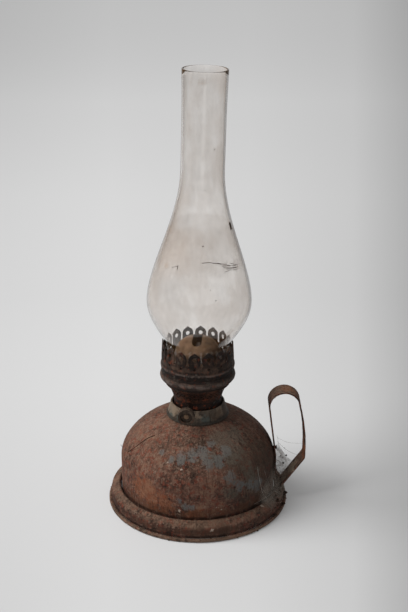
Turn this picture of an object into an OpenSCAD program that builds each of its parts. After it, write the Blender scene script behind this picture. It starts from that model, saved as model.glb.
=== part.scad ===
// Hand lamp that burns kerosene: a domed tin font on a flared foot, a strap handle,
// a flat wick burner with a pierced crown, and a bulbous glass chimney.
// Millimetres. The origin is on the lamp's axis in the plane that it stands on,
// +Z points up and +X points to the handle.

/* [Font] */
// Outside diameter over the rolled hem of the foot
foot_d = 138; // [134:1:146]
// Outside diameter of the font's upright wall
wall_d = 117.6; // [116:0.2:119]
// Height at which the upright wall turns into the dome
dome_spring_z = 38; // [36:0.5:41]
// Height of the dome at the neck
neck_z = 72.6; // [71:0.2:74]
// Thickness of the tinned sheet
tin_t = 0.6; // [0.4:0.1:0.8]
// Height of the foot's rounded shoulder
shoulder_z = 14.4; // [13:0.2:16]
// Height of the rolled hem
hem_h = 3.2; // [2.8:0.2:4]

/* [Handle] */
// Width of the strap
strap_w = 14.5; // [10:0.5:20]
// Thickness of the strap
strap_t = 1.2; // [1:0.1:1.6]
// Inner height of the loop's top above the table
loop_top_z = 90.4; // [86:0.2:96]
// Radius of the loop's round top, to the middle of the strap
loop_r = 11.6; // [9:0.1:13]
// Distance from the lamp's axis to the outer leg where it bends
loop_reach = 81.6; // [78:0.2:84]

/* [Burner] */
// Direction of the wick knob, in degrees from +X
burner_az = -96; // [-180:1:180]
// Outside diameter of the burner's neck
burner_neck_d = 36; // [35.6:0.1:36.2]
// Largest diameter of the gallery's bead
bead_d = 56.6; // [56:0.2:58]
// Height of the wick spindle
spindle_z = 85; // [84.6:0.1:85.4]
// Number of holes in each row of the basket
basket_holes = 40; // [24:1:44]

/* [Crown] */
// Number of teeth round the crown, an even number
teeth = 16; // [12:2:18]
// Height of the tips of the teeth
tip_z = 131.4; // [130:0.2:133]
// Height of the foot of the slits between the teeth
slit_z = 121.8; // [121:0.2:123]
// Width of the slits between the teeth
slit_w = 1.5; // [1.2:0.1:3]
// Diameter of the hole in each tooth
tooth_hole_d = 3.2; // [2:0.1:3.4]

/* [Wick and knob] */
// Width of the flat wick
wick_w = 17.8; // [14:0.1:18]
// Thickness of the flat wick
wick_t = 2.6; // [2:0.1:2.8]
// Height of the wick's burning edge
wick_top_z = 127; // [124:0.5:128]
// Diameter of the wick knob
knob_d = 12; // [9:0.5:13]
// Thickness of the wick knob
knob_t = 5; // [3:0.5:6]

/* [Chimney] */
// Outside diameter of the chimney's foot
glass_foot_d = 47.6; // [46.6:0.2:48]
// Outside diameter of the chimney's bulb
bulb_d = 76.6; // [70:0.2:80]
// Outside diameter of the chimney's upper tube
stack_d = 31.2; // [28:0.2:34]
// Length of the chimney
chimney_len = 211.6; // [190:0.2:230]
// Wall of the glass
glass_t = 1.2; // [1.2:0.1:2]
// Lean of the chimney towards the handle, because it sits crooked in the crown
chimney_lean = 1.4; // [0:0.1:1.6]

/* [Hidden] */
$fn = 96;

// Colours, as the old lamp shows them
c_rust = "#6b4a3c";
c_iron = "#4a352c";
c_collar = "#5c5f52";
c_brass = "#6a5a4a";
c_wick = "#b8a888";
c_glass = "#cfd2cc";

// Font
wall_r = wall_d / 2;
foot_r = foot_d / 2;
neck_r = 19.9;
dome_powers = [1.42, 1.1];
wall_foot_z = 8;
floor_z = 9;
floor_rise = 1.8;
skirt_r = foot_r - 2.2;
crease_z = 12.6;
shoulder_r = 3;
hem_w = 3;
hem_edge_r = 1.2;
wire_r = 0.9;

// Collar
collar_top_z = 82.5;
collar_foot_r = 23.4;
collar_bore_r = 18.75;
collar_t = 0.6;
collar_rim_r = 0.85;
collar_thread = 0.4;
seam_az = -63;
seam_angle = 11;

// Handle
rivet_z = [22, 42];
rivet_shank_r = 1.1;
rivet_head_r = 1.9;
rivet_head_h = 0.9;

// Burner, with a small gap between sheets that are pressed or soldered together
sheet_t = 0.5;
fit_gap = 0.06;
neck_or = burner_neck_d / 2;
thread_crest_r = 18.35;
thread_root_r = 17.85;
thread_pitch = 2.4;
cup_z = 72.6;
cup_top_z = 89.2;
basket_foot_z = 87.9;
basket_r = neck_or + sheet_t;
basket_steep_z = 88.6;
basket_bend = [20.9, 94.9];
basket_flare_z = 98.4;
basket_rim_r = 24.3;
basket_rim_z = 100.8;
basket_hole_d = 1.3;
basket_steep_rows = [0.6, 0.84];
basket_flare_rows = [0.15, 0.47, 0.79];
bowl_rim_r = 27.2;
bowl_rim_z = 109.4;
bead_z = 104.7;
bead_r = 3.4;
band_r = 27;
crown_foot_z = 105.4;
ridge_z = 113;
ridge_r = 27.75;
band_z = [115.2, 119.6];
tip_r = 26.3;
low_hole_z = 118.7;
tooth_head_z = tip_z - 5.2;
low_hole_d = 1.9;
slit_end_r = 1.05;
crown_turn = 1;

// Chimney seat, air diffuser and flame deflector
seat_z = 118.6;
seat_hole_r = 16.6;
diffuser_z = basket_rim_z + 0.5;
window_d = 7.4;
deflector_flange_r = 19.4;
deflector_r = 16.8;
deflector_top_z = 134;
deflector_spring_z = 122.4;
deflector_t = 0.5;
deflector_gap = 0.05;

// Wick and its raiser
tube_gap = [0.4, 0.3];
tube_z = [60, 124.6];
tube_out = [wick_w + 2 * tube_gap[0] + 2 * sheet_t, wick_t + 2 * tube_gap[1] + 2 * sheet_t];
tube_in = [tube_out[0] - 2 * sheet_t, tube_out[1] - 2 * sheet_t];
wheel_r = 3.2;
wheel_gap = 0.2;
wheel_teeth = 14;
wheel_t = 1.6;
wheel_x = [-4.6, 4.6];
spindle_r = 1.3;
spindle_clear = 0.06;
spindle_y = -(wick_t / 2 + wheel_gap + wheel_r);
housing_x = 8;
housing_z = [80.4, 90];
housing_y = spindle_y - wheel_r - 0.9;
bush_r = 2;
bush_flange_r = 2.35;
knob_x = 31.6;
wick_tail_z = 24;

// Chimney
glass_lift = 0.12;
lean_drop = glass_foot_d / 2 * sin(chimney_lean);
glass_z = seat_z + glass_lift + lean_drop;
glass_neck_h = 11;
bulb_h = 44;
stack_h = 142;
stack_end_d = 32.4;

// Curves and sheets

// Points on an arc from one angle to another
function arc(c, r, a0, a1, n) =
  [for (i = [0 : n]) let (a = a0 + (a1 - a0) * i / n) c + r * [cos(a), sin(a)]];

function unit(v) = v / norm(v);

// Unit direction of a path at one of its points
function direction(p, i) = unit(p[min(i + 1, len(p) - 1)] - p[max(i - 1, 0)]);

// Closed outline of a sheet of thickness t on the left of a path. A path that ends
// on the axis of a turned sheet stays on its own side of it.
function sheet_outline(p, t) = concat(p, [
  for (i = [len(p) - 1 : -1 : 0])
    let (d = direction(p, i), q = p[i] + t * [-d[1], d[0]]) p[i][0] == 0 ? [0, q[1]] : q
]);

// Smooth step from 0 to 1
function ease(t) = t * t * (3 - 2 * t);

// A rolled thread as a wave between two radii, going up
function rolled_thread(root, crest, z, pitch, turns) = [
  for (i = [0 : 4 * turns])
    [(root + crest) / 2 - (crest - root) / 2 * cos(90 * i), z + pitch * i / 4]
];

module turned_sheet(path, t) rotate_extrude() polygon(sheet_outline(path, t));

// A low round rivet head on the plane x = 0, pointing along +X
module rivet_head(r, h) {
  dome_r = (r * r + h * h) / (2 * h);
  rotate([0, 90, 0]) rotate_extrude()
    polygon(concat([[0, 0]], arc([0, h - dome_r], dome_r, 90 - asin(r / dome_r), 90, 6)));
}

module ring(r, wire) rotate_extrude() translate([r, 0]) circle(wire, $fn = 32);

// Everything that turns with the burner is drawn with its knob towards +X
module at_burner() rotate([0, 0, burner_az]) children();

// A round bar along X, from x0 to x1
module bar_x(x0, x1, r) translate([x0, 0, 0]) rotate([0, 90, 0]) cylinder(x1 - x0, r = r, $fn = 48);

module on_spindle() translate([0, spindle_y, spindle_z]) children();

// Outline of the wick tube, with half round ends
module tube_outline(size) {
  square([size[0] - size[1], size[1]], center = true);
  for (s = [-1, 1])
    translate([s * (size[0] - size[1]) / 2, 0])
      circle(size[1] / 2, $fn = 48);
}

// Font

// Outline of the font from the foot of its wall to the edge of the neck hole.
// The two powers make the dome full at its shoulder and flat at the neck.
function font_path() = concat(
  [[wall_r, wall_foot_z]],
  [for (i = [0 : 18])
    let (a = 90 - 5 * i)
    [
      neck_r + (wall_r - neck_r) * pow(sin(a), dome_powers[0]),
      dome_spring_z + (neck_z - dome_spring_z) * pow(cos(a), dome_powers[1])
    ]
  ]
);

// Height of the dome's outside at a radius, and the font's outer radius at a height
function dome_z(r) =
  let (a = asin(pow((r - neck_r) / (wall_r - neck_r), 1 / dome_powers[0])))
  dome_spring_z + (neck_z - dome_spring_z) * pow(cos(a), dome_powers[1]);

function font_r(z) = z <= dome_spring_z ? wall_r :
  let (a = acos(pow((z - dome_spring_z) / (neck_z - dome_spring_z), 1 / dome_powers[1])))
  neck_r + (wall_r - neck_r) * pow(sin(a), dome_powers[0]);

module rivet_holes() {
  for (z = rivet_z)
    translate([0, 0, z]) bar_x(wall_r - 8, wall_r + 8, rivet_shank_r + fit_gap);
}

module font_shell() {
  color(c_rust) difference() {
    turned_sheet(font_path(), tin_t);
    rivet_holes();
  }
}

module font_floor() {
  inner_r = wall_r - tin_t - fit_gap;
  color(c_rust) turned_sheet([
    [inner_r, wall_foot_z - 1.6],
    [inner_r, floor_z - 0.6],
    [inner_r - 0.6, floor_z],
    [inner_r - 14, floor_z + 0.4],
    [inner_r / 2, floor_z + floor_rise * 0.8],
    [0, floor_z + floor_rise]
  ], tin_t);
}

// Round shoulder of the skirt, from its upright side to its slope
function skirt_shoulder() =
  arc([skirt_r - shoulder_r, shoulder_z - 2.2 - shoulder_r], shoulder_r, 0, 56, 6);

// The skirt is a pressed ring with a round shoulder, rolled outwards at its lower edge
module base_skirt() {
  color(c_rust) union() {
    turned_sheet(concat(
      [[skirt_r, hem_h - 1]],
      skirt_shoulder(),
      [[wall_r + 2.6, shoulder_z - 0.1]],
      arc([wall_r + 1.9, shoulder_z - 1.5], 1.5, 80, 165, 4),
      [[wall_r + fit_gap, crease_z - 1.4]]
    ), tin_t);
    rotate_extrude() difference() {
      hem_outline();
      translate([foot_r - hem_w / 2, hem_h / 2]) circle(wire_r + 0.05, $fn = 32);
    }
  }
}

module hem_outline() {
  translate([foot_r - hem_w, 0]) {
    translate([hem_edge_r, 0]) square([hem_w - 2 * hem_edge_r, hem_h]);
    translate([0, hem_edge_r]) square([hem_w, hem_h - 2 * hem_edge_r]);
    for (x = [hem_edge_r, hem_w - hem_edge_r], z = [hem_edge_r, hem_h - hem_edge_r])
      translate([x, z]) circle(hem_edge_r, $fn = 32);
  }
}

module hem_wire() {
  color(c_iron) translate([0, 0, hem_h / 2]) ring(foot_r - hem_w / 2, wire_r);
}

// The collar is one spun sheet: a threaded tube, a round top edge and a flared skirt
module font_collar() {
  rim_c = [collar_bore_r + collar_rim_r, collar_top_z - collar_rim_r];
  skirt = [
    [collar_foot_r + 0.4, dome_z(collar_foot_r - 0.3) + 0.32],
    [collar_foot_r - 0.7, neck_z + 1.5],
    [collar_bore_r + 2 * collar_rim_r + 0.15, collar_top_z - 1.3]
  ];
  color(c_collar) union() {
    turned_sheet(concat(
      skirt,
      arc(rim_c, collar_rim_r, 10, 180, 8),
      [for (q = rolled_thread(0, collar_thread, 0, thread_pitch, 4))
        [collar_bore_r + q[0], collar_top_z - 2 - q[1]]]
    ), collar_t);
    rotate([0, 0, seam_az]) rotate_extrude(angle = seam_angle) polygon([
      skirt[1] + [-0.4, 0.6],
      skirt[1] + [0.45, 0.6],
      skirt[2] + [0.45, -1.2],
      skirt[2] + [-0.4, -1.2]
    ]);
  }
}

// Handle

// Middle line of the strap: up the wall, round the top, down the outer leg
// and slanting back to the shoulder of the foot
function handle_path() =
  let (
    x_wall = wall_r + strap_t / 2,
    top_c = [65.5, loop_top_z + strap_t / 2 - loop_r],
    bend_r = 5,
    shoulder = [wall_r + 2.6, shoulder_z - 0.1],
    slope = unit(shoulder - skirt_shoulder()[6]),
    lift = strap_t / 2 * [slope[1], -slope[0]]
  )
  concat(
    [[x_wall, 16.4], [x_wall, 39]],
    arc(top_c, loop_r, 177, 0, 16),
    [
      [loop_reach - 2, top_c[1] - 11],
      [loop_reach - 0.6, top_c[1] - 21],
      [loop_reach, top_c[1] - 31]
    ],
    arc([loop_reach - bend_r, 38], bend_r, 0, -42, 4),
    [[66.7, 15.4], [65.2, 13.6]],
    [for (k = [2.6, 0]) shoulder - k * slope + lift]
  );

module handle_strap() {
  p = handle_path();
  left_side = [for (i = [0 : len(p) - 1]) let (d = direction(p, i)) p[i] - strap_t / 2 * [-d[1], d[0]]];
  color(c_rust) difference() {
    rotate([90, 0, 0]) linear_extrude(strap_w, center = true) polygon(sheet_outline(left_side, strap_t));
    rivet_holes();
  }
}

module handle_rivets() {
  outer_x = wall_r + strap_t + fit_gap;
  color(c_iron) for (z = rivet_z) translate([0, 0, z]) {
    inner_x = font_r(z + rivet_head_r) - tin_t - 0.3;
    bar_x(inner_x - 0.8, inner_x, rivet_head_r);
    bar_x(inner_x, outer_x, rivet_shank_r);
    translate([outer_x, 0, 0]) rivet_head(rivet_head_r, rivet_head_h);
  }
}

// Burner

module burner_cup() {
  color(c_iron) at_burner() difference() {
    union() {
      turned_sheet(concat(
        [[tube_in[1] / 2 + 0.6, cup_z], [thread_root_r - 0.8, cup_z], [thread_root_r, cup_z + 0.8]],
        rolled_thread(thread_root_r, thread_crest_r, cup_z + 1, thread_pitch, 3),
        [[neck_or, collar_top_z - 1.4], [neck_or, cup_top_z]]
      ), sheet_t);
      rotate_extrude() translate([0, cup_z]) square([4, sheet_t]);
    }
    translate([0, 0, cup_z - 1]) linear_extrude(3) tube_outline(tube_out);
    on_spindle() bar_x(14, 20, bush_r);
  }
}

// The basket is steep at its foot and flares below the bowl. Its rows of holes, each half a
// pitch round from the last, are given as shares of the steep part and of the flare
module burner_basket() {
  corners = [[basket_r, basket_steep_z], basket_bend, [basket_rim_r, basket_flare_z]];
  color(c_iron) at_burner() difference() {
    turned_sheet(concat([[basket_r, basket_foot_z]], corners, [[basket_rim_r, basket_rim_z]]), sheet_t);
    for (side = [0, 1]) {
      run = corners[side + 1] - corners[side];
      slope = atan2(run[1], run[0]);
      rows = side == 0 ? basket_steep_rows : basket_flare_rows;
      for (k = [0 : len(rows) - 1], i = [0 : basket_holes - 1]) {
        hole = corners[side] + run * rows[k];
        rotate([0, 0, (i + k / 2) * 360 / basket_holes]) translate([hole[0], 0, hole[1]])
          rotate([0, 180 - slope, 0]) cylinder(3, d = basket_hole_d, center = true, $fn = 12);
      }
    }
  }
}

// The bowl runs from the basket's rim out to a round bead and up to a plain rim
module gallery_bowl() {
  bead_or = bead_d / 2;
  color(c_iron) turned_sheet(concat(
    [[basket_rim_r + sheet_t, basket_rim_z - 1.1], [basket_rim_r + sheet_t, basket_rim_z - 0.2]],
    arc([bead_or - bead_r, bead_z], bead_r, -66, acos((bowl_rim_r + bead_r - bead_or) / bead_r), 9),
    [[bowl_rim_r, bowl_rim_z]]
  ), sheet_t);
}

// Right half of the gap between two teeth, going up: a straight slit, then the round
// shoulder of the tooth's head, then the straight side of its pointed tip
function half_gap() =
  let (
    half_pitch = tip_r * sin(180 / teeth),
    half_head = half_pitch - slit_w / 2,
    tip_flat = 0.35,
    head_c = [half_pitch, tooth_head_z]
  )
  concat(
    [[slit_w / 2, slit_z]],
    arc(head_c, half_head, 180, 138, 4),
    [[half_pitch - tip_flat, tip_z - 0.1], [half_pitch - tip_flat, tip_z + 1]]
  );

module gap_outline() {
  right = half_gap();
  polygon(concat(right, [for (i = [len(right) - 1 : -1 : 0]) [-right[i][0], right[i][1]]]));
  translate([0, slit_z]) circle(slit_end_r, $fn = 24);
}

module crown_gallery() {
  bowl_in_r = bowl_rim_r - sheet_t - fit_gap;
  cut = [tip_r - 5, band_r + 4];
  color(c_iron) at_burner() rotate([0, 0, crown_turn]) difference() {
    turned_sheet([
      [bowl_in_r, crown_foot_z],
      [bowl_in_r, bowl_rim_z],
      [bowl_rim_r, bowl_rim_z + 0.5],
      [ridge_r - 0.15, ridge_z - 0.9],
      [ridge_r, ridge_z],
      [ridge_r - 0.15, ridge_z + 0.9],
      [band_r, band_z[0]],
      [band_r, band_z[1]],
      [tip_r, tip_z]
    ], sheet_t);
    for (k = [0 : teeth - 1]) rotate([0, 0, k * 360 / teeth]) {
      translate([0, 0, tooth_head_z]) bar_x(cut[0], cut[1], tooth_hole_d / 2);
      translate([0, 0, low_hole_z]) bar_x(cut[0], cut[1], low_hole_d / 2);
      rotate([90, 0, 90 + 180 / teeth]) translate([0, 0, cut[0]]) linear_extrude(cut[1] - cut[0])
        gap_outline();
    }
  }
}

// A ledge inside the crown, on which the glass and the flame deflector stand
module chimney_seat() {
  hole_r = 0.9;
  rim = band_r - sheet_t - fit_gap;
  color(c_iron) at_burner() difference() {
    turned_sheet([
      [rim, band_z[0] + 0.2],
      [rim, seat_z - 0.5],
      [rim - 0.5, seat_z],
      [seat_hole_r, seat_z]
    ], sheet_t);
    for (i = [0 : 23])
      rotate([0, 0, 15 * i]) translate([deflector_flange_r + 1.3, 0, seat_z - 2]) cylinder(4, r = hole_r, $fn = 24);
  }
}

// A plate with six round windows that steadies the draught and carries the wick tube
module air_diffuser() {
  rim = basket_rim_r - sheet_t;
  window_ring_r = 14.6;
  color(c_brass) at_burner() difference() {
    turned_sheet([
      [rim, basket_rim_z - 1],
      [rim, diffuser_z - 0.5],
      [rim - 0.5, diffuser_z],
      [0, diffuser_z]
    ], sheet_t);
    translate([0, 0, diffuser_z - 2]) linear_extrude(4) tube_outline(tube_out);
    for (i = [0 : 5])
      rotate([0, 0, 60 * i + 30]) translate([window_ring_r, 0, diffuser_z - 2]) cylinder(4, d = window_d, $fn = 48);
  }
}

module wick_tube() {
  color(c_brass) at_burner() difference() {
    translate([0, 0, tube_z[0]]) linear_extrude(tube_z[1] - tube_z[0]) difference() {
      tube_outline(tube_out);
      tube_outline(tube_in);
    }
    for (x = wheel_x)
      translate([x - wheel_t / 2 - 0.4, -tube_out[1], spindle_z - wheel_r - 0.2])
        cube([wheel_t + 0.8, tube_out[1], 2 * wheel_r + 0.4]);
  }
}

// A folded channel on the wick tube, open towards it, that carries the spindle
module raiser_housing() {
  back = -tube_out[1] / 2;
  height = housing_z[1] - housing_z[0];
  color(c_brass) at_burner() difference() {
    translate([-housing_x, housing_y, housing_z[0]]) cube([2 * housing_x, back - housing_y, height]);
    translate([-housing_x + sheet_t, housing_y + sheet_t, housing_z[0] + sheet_t])
      cube([2 * housing_x - 2 * sheet_t, back - housing_y, height - 2 * sheet_t]);
    on_spindle() bar_x(-20, 20, spindle_r + spindle_clear);
  }
}

module spindle_bush() {
  color(c_brass) at_burner() on_spindle() difference() {
    union() {
      bar_x(15.4, 18.6, bush_r);
      bar_x(18, 18.7, bush_flange_r);
    }
    bar_x(14, 20, spindle_r + spindle_clear);
  }
}

// Wick raiser

module spindle() {
  color(c_iron) at_burner() on_spindle() bar_x(-housing_x - 1.2, knob_x + knob_t - 1.9, spindle_r);
}

module star_wheels() {
  hub_r = 2.2;
  tooth_w = 0.9;
  color(c_brass) at_burner() on_spindle() for (x = wheel_x) difference() {
    union() {
      bar_x(x - wheel_t / 2, x + wheel_t / 2, hub_r);
      intersection() {
        bar_x(x - wheel_t / 2, x + wheel_t / 2, wheel_r);
        for (i = [0 : wheel_teeth / 2 - 1])
          rotate([360 / wheel_teeth * i, 0, 0]) cube([4 * wheel_t + 20, tooth_w, 2 * wheel_r], center = true);
      }
    }
    bar_x(x - wheel_t, x + wheel_t, spindle_r);
  }
}

// A cupped knob with a milled edge
module wick_knob() {
  grooves = 22;
  cup_r = knob_d / 2 - 1.5;
  cup_depth = 1.7;
  color(c_iron) at_burner() on_spindle() difference() {
    union() {
      bar_x(knob_x, knob_x + knob_t, knob_d / 2);
      bar_x(knob_x - 1.6, knob_x, 2.4);
    }
    bar_x(knob_x + knob_t - cup_depth, knob_x + knob_t + 1, cup_r);
    bar_x(knob_x - 3, knob_x + knob_t, spindle_r);
    for (i = [0 : grooves - 1])
      rotate([360 / grooves * i, 0, 0]) translate([0, 0, knob_d / 2 + 0.12])
        bar_x(knob_x + 0.6, knob_x + knob_t - 0.6, 0.42, $fn = 16);
  }
}

module knob_rivet() {
  floor_x = knob_x + knob_t - 1.7;
  color(c_brass) at_burner() on_spindle() difference() {
    translate([floor_x, 0, 0]) rivet_head(2, 1.1);
    bar_x(floor_x - 1, knob_x + knob_t - 1.9, spindle_r);
  }
}

// A woven strip with round edges, trimmed at the corners of its burning edge
module wick() {
  corner = 2;
  edge = wick_w / 2;
  color(c_wick) at_burner() intersection() {
    translate([0, 0, wick_tail_z]) linear_extrude(wick_top_z - wick_tail_z) tube_outline([wick_w, wick_t]);
    rotate([90, 0, 0]) linear_extrude(2 * wick_t, center = true) polygon([
      [-edge - 1, wick_tail_z - 1],
      [edge + 1, wick_tail_z - 1],
      [edge + 1, wick_top_z - corner - 0.6],
      [edge - corner, wick_top_z - 0.2],
      [edge - corner - 3, wick_top_z + 1],
      [-edge + corner + 3, wick_top_z + 1],
      [-edge + corner, wick_top_z - 0.2],
      [-edge - 1, wick_top_z - corner - 0.6]
    ]);
  }
}

// A dome over the wick tube, with a slot that lets the flame through
module flame_deflector() {
  rise = deflector_top_z - deflector_spring_z;
  flange_z = seat_z + deflector_gap + deflector_t;
  slot_w = 7;
  color(c_brass) at_burner() difference() {
    turned_sheet(concat(
      [
        [deflector_flange_r, flange_z],
        [deflector_r + 1.2, flange_z],
        [deflector_r + 0.3, flange_z + 0.6]
      ],
      [for (a = [0 : 10 : 90]) [deflector_r * cos(a), deflector_spring_z + rise * sin(a)]]
    ), deflector_t);
    translate([0, 0, deflector_spring_z + 1]) linear_extrude(20) tube_outline([wick_w + 4, slot_w]);
  }
}

// Outside of the chimney, from its foot up: a straight foot, a tight neck,
// a full bulb and a long shoulder that runs into the straight stack
function chimney_r(h) =
  h < glass_neck_h ? glass_foot_d / 2 :
  h < bulb_h ? let (t = (h - glass_neck_h) / (bulb_h - glass_neck_h))
    glass_foot_d / 2 + (bulb_d - glass_foot_d) / 2 * pow(sin(90 * t), 1.15) :
  h < stack_h ? let (t = (h - bulb_h) / (stack_h - bulb_h))
    bulb_d / 2 - (bulb_d - stack_d) / 2 * pow(ease(pow(t, 0.86)), 1.04) :
  stack_d / 2 + (stack_end_d - stack_d) / 2 * pow(max(0, (h - stack_h - 30) / (chimney_len - stack_h - 30)), 2);

function chimney_heights() = concat(
  [0, glass_neck_h - 0.01],
  [for (i = [0 : 12]) glass_neck_h + (bulb_h - glass_neck_h) * (1 - cos(90 * i / 12)) * 0.35
    + (bulb_h - glass_neck_h) * i / 12 * 0.65],
  [for (i = [1 : 26]) bulb_h + (stack_h - bulb_h) * i / 26],
  [for (i = [1 : 6]) stack_h + (chimney_len - stack_h) * i / 6]
);

module chimney() {
  path = [for (h = chimney_heights()) [chimney_r(h), h]];
  color(c_glass, 0.4) translate([0, 0, glass_z]) rotate([0, chimney_lean, 0]) turned_sheet(path, glass_t);
}

font_shell();
font_floor();
base_skirt();
hem_wire();
font_collar();
handle_strap();
handle_rivets();
burner_cup();
burner_basket();
gallery_bowl();
crown_gallery();
chimney_seat();
air_diffuser();
wick_tube();
raiser_housing();
spindle_bush();
spindle();
star_wheels();
wick_knob();
knob_rivet();
wick();
flame_deflector();
chimney();
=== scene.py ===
import math
import random
import bpy
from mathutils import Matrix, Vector


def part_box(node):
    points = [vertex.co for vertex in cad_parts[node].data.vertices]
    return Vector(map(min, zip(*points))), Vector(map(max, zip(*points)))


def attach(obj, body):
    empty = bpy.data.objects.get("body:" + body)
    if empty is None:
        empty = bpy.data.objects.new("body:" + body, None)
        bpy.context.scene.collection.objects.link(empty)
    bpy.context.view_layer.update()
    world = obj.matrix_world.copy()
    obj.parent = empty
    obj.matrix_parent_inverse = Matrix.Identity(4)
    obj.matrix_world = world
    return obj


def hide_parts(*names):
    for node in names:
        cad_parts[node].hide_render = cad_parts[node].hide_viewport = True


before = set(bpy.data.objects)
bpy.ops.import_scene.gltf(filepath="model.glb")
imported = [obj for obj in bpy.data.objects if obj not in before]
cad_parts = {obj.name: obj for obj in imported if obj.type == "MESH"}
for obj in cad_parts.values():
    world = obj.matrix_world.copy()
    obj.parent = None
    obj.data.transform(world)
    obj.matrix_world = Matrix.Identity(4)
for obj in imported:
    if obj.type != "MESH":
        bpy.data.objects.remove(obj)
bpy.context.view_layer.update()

# Sizes in this script are millimetres, and MM turns them to Blender's metres.
MM = 0.001

# The photograph's frame and the camera that was fitted to the lamp's circles in it
PHOTO_SIZE = (408, 612)
FOCAL_PIXELS = 1150
AXIS_PIXEL = 197.7
CAMERA_PLACE = (0, -784.7, 462.6)
CAMERA_PITCH = 21.2
SENSOR = 36

# Main sizes of the lamp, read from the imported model
FOOT_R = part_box("base_skirt")[1].x / MM
WALL_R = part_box("font_shell")[1].x / MM
NECK_R, NECK_Z = 19.9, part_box("font_shell")[1].z / MM
SPRING_Z = 38
COLLAR_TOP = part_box("font_collar")[1].z / MM
SHOULDER_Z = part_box("base_skirt")[1].z / MM
GLASS_FOOT_R, GLASS_LEAN = 23.8, 1.4
GLASS_FOOT_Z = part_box("chimney")[0].z / MM + GLASS_FOOT_R * math.sin(math.radians(GLASS_LEAN))

# Settings that many shader nodes share
SOFT = {"interpolation_type": "SMOOTHSTEP"}
COLOURS = {"data_type": "RGBA", "out": 2}


# Camera, lights and floor


def photo_camera():
    """The camera, level with nothing in the picture turned, at the photograph's distance and pitch."""
    lens = bpy.data.cameras.new("photo_camera")
    lens.sensor_width = SENSOR
    lens.lens = FOCAL_PIXELS / PHOTO_SIZE[1] * SENSOR
    lens.shift_x = (PHOTO_SIZE[0] / 2 - AXIS_PIXEL) / PHOTO_SIZE[1]
    lens.clip_end = 50
    camera = bpy.data.objects.new("photo_camera", lens)
    bpy.context.scene.collection.objects.link(camera)
    camera.location = Vector(CAMERA_PLACE) * MM
    camera.rotation_euler = (math.radians(90 - CAMERA_PITCH), 0, 0)
    bpy.context.scene.camera = camera


def srgb(code):
    """Linear colour of an sRGB hex value."""
    parts = [int(code[i : i + 2], 16) / 255 for i in (1, 3, 5)]
    return tuple(p / 12.92 if p <= 0.04045 else ((p + 0.055) / 1.055) ** 2.4 for p in parts) + (1,)


def add(tree, kind, inputs=None, out=0, stops=(), **settings):
    """Adds a node with its settings, colour stops and links, and returns one of its outputs."""
    node = tree.nodes.new("ShaderNode" + kind)
    for name, value in settings.items():
        setattr(node, name, value)
    for name, value in (inputs or {}).items():
        if isinstance(value, bpy.types.NodeSocket):
            tree.links.new(value, node.inputs[name])
        else:
            node.inputs[name].default_value = srgb(value) if isinstance(value, str) else value
    for i, (place, colour) in enumerate(stops):
        ramp = node.color_ramp.elements
        stop = ramp[i] if i < 2 else ramp.new(place)
        stop.position, stop.color = place, srgb(colour)
    return node.outputs[out] if node.outputs else None


def new_material(name):
    """An empty material and its node tree."""
    material = bpy.data.materials.new(name)
    material.use_nodes = True
    material.node_tree.nodes.clear()
    return material, material.node_tree


def soft_light(name, place, size, watts, colour):
    """A square softbox aimed at the burner. The glass doesn't mirror it."""
    lamp = bpy.data.lights.new(name, "AREA")
    lamp.size, lamp.energy, lamp.color = size, watts, srgb(colour)[:3]
    holder = bpy.data.objects.new(name, lamp)
    bpy.context.scene.collection.objects.link(holder)
    holder.location = place
    aim = Vector((0, 0, 0.1)) - Vector(place)
    holder.rotation_euler = aim.to_track_quat("-Z", "Y").to_euler()
    holder.visible_glossy = False
    holder.visible_transmission = False


def seen_directly(tree):
    """1 for rays that look at the background, straight or by way of metal and glass, and 0 for its light."""
    ray = add(tree, "LightPath").node.outputs
    looks = add(tree, "Math", {0: ray["Is Camera Ray"], 1: ray["Is Glossy Ray"]}, operation="MAXIMUM")
    return add(tree, "Math", {0: looks, 1: ray["Is Transmission Ray"]}, operation="MAXIMUM")


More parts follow.
